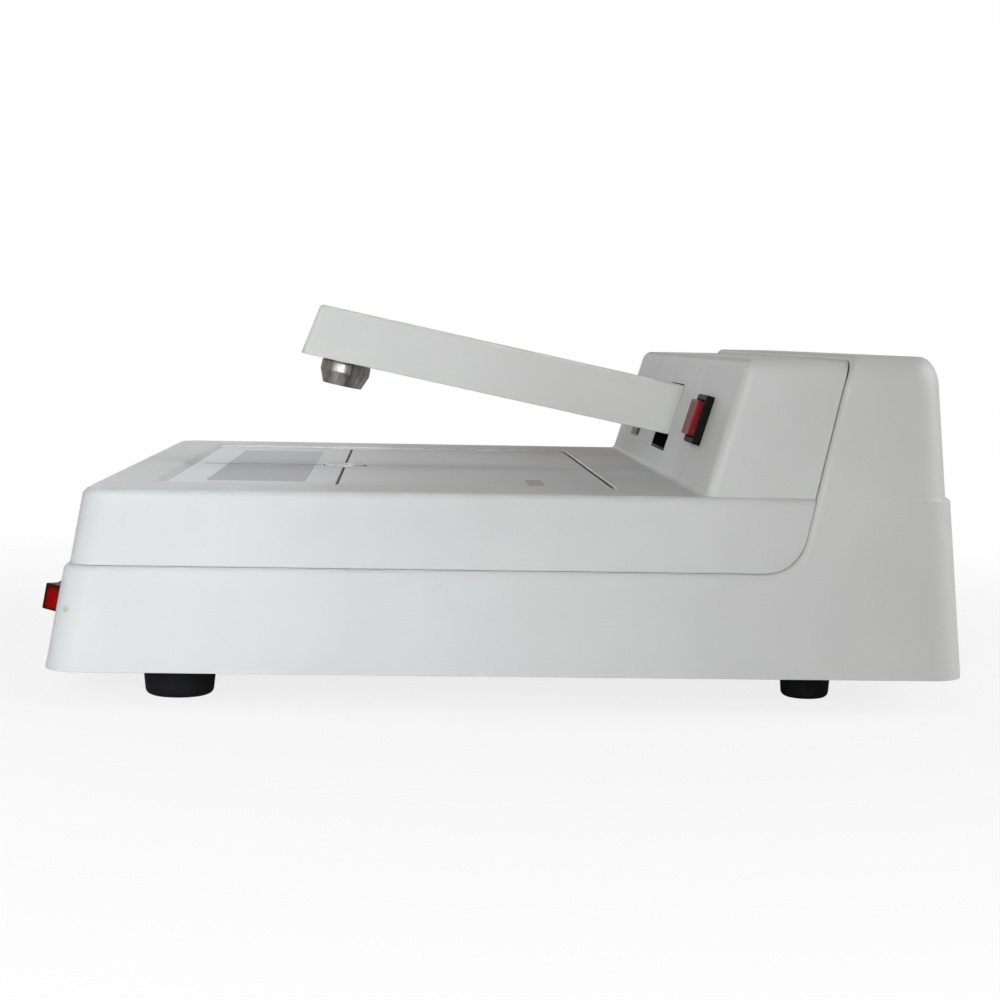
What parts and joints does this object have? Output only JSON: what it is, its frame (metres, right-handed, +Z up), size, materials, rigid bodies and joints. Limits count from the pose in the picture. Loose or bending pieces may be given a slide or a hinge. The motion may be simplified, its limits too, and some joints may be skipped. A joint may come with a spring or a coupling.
{
  "type": "photographic densitometer",
  "caption": "Bench transmission densitometer for film: lit stage, sprung measuring arm, display window, zero button, mains rocker, serial and mains sockets.",
  "frame": {"origin": "on the table, under the middle of the case", "axes": "+X to the operator's right, +Y towards the rear with the connectors, +Z up"},
  "size_m": [0.26, 0.2664, 0.1134],
  "materials": {
    "case_plastic": "fine textured, satin",
    "cover_plastic": "fine textured, satin",
    "arm_plastic": "fine textured, satin",
    "stage_plastic": "smooth, satin",
    "stage_print": "printed, matt",
    "ring_plastic": "turned, smooth",
    "diffuser": "opal, smooth",
    "black_plastic": "moulded, satin",
    "window": "tinted, polished",
    "display": "moulded",
    "board_green": "lacquered",
    "red_plastic": "moulded, glossy",
    "rubber": "moulded, matt",
    "steel": "zinc plated",
    "spring_steel": "drawn wire",
    "probe_steel": "turned",
    "plated_shell": "tin plated",
    "serial_insulator": "moulded",
    "contact_gold": "gold plated",
    "bush_brass": "turned",
    "plate_foil": "satin foil",
    "clear_glass": "polished",
    "photodiode_can": "drawn can",
    "lamp_housing": "turned, bead blasted",
    "ceramic": "ceramic",
    "components": "moulded",
    "core_iron": "laminated, lacquered",
    "coil_tape": "taped winding"
  },
  "bodies": {
    "case": {"base_shell": "case_plastic", "front_cover": "cover_plastic", "bottom_plate": "steel", "case_screws": "steel", "front_feet": "rubber", "rear_feet": "rubber", "foot_screws": "steel", "stage_plate": "stage_plastic", "stage_field": "stage_print", "aperture_ring": "ring_plastic", "aperture_diffuser": "diffuser", "slot_liner": "black_plastic", "display_window": "window", "display_module": "display", "display_board": "board_green", "zero_button_body": "black_plastic", "zero_button_spring": "spring_steel", "power_switch_body": "black_plastic", "connector_frame": "case_plastic", "serial_shell": "plated_shell", "serial_insulator": "serial_insulator", "serial_contacts": "contact_gold", "serial_jackscrews": "plated_shell", "inlet_body": "black_plastic", "inlet_pins": "steel", "inlet_screws": "steel", "rating_plate": "plate_foil", "pivot_bracket": "steel", "pivot_shaft": "steel", "shaft_clips": "steel", "return_spring": "spring_steel", "arm_stop": "black_plastic", "arm_switch": "black_plastic", "lamp_housing": "lamp_housing", "condenser_lens": "clear_glass", "lamp": "clear_glass", "lamp_socket": "ceramic", "main_board": "board_green", "board_standoffs": "bush_brass", "board_components": "components", "transformer_core": "core_iron", "transformer_coil": "coil_tape"},
    "arm": {"arm_shell": "arm_plastic", "arm_bottom": "arm_plastic", "arm_lever": "steel", "arm_screws": "steel", "pivot_bushes": "bush_brass", "probe_body": "probe_steel", "probe_window": "clear_glass", "photodiode": "photodiode_can", "sensor_board": "board_green"},
    "zero_button": {"zero_button_cap": "red_plastic"},
    "rocker": {"power_rocker": "red_plastic"},
    "drawer": {"fuse_drawer": "black_plastic", "fuse": "clear_glass"}
  },
  "joints": [
    {"name": "arm_hinge", "type": "hinge", "parent": "case", "child": "arm", "pos_m": [0, 0.08, 0.08], "axis": [1, 0, 0], "range_deg": [0, 11.5], "stiffness_Nm_per_rad": 1.5, "springref_deg": -11.46, "deforming": ["return_spring"]},
    {"name": "zero_press", "type": "slide", "parent": "case", "child": "zero_button", "axis": [0, 0.9576, -0.2882], "range_m": [0, 0.0012], "stiffness_N_per_m": 800, "springref_m": -0.001, "deforming": ["zero_button_spring"]},
    {"name": "rocker_tilt", "type": "hinge", "parent": "case", "child": "rocker", "pos_m": [0.098, -0.12618, 0.02523], "axis": [0, 0.1705, 0.9854], "range_deg": [0, 30]},
    {"name": "drawer_slide", "type": "slide", "parent": "case", "child": "drawer", "axis": [0, 1, 0], "range_m": [0, 0.018]}
  ]
}
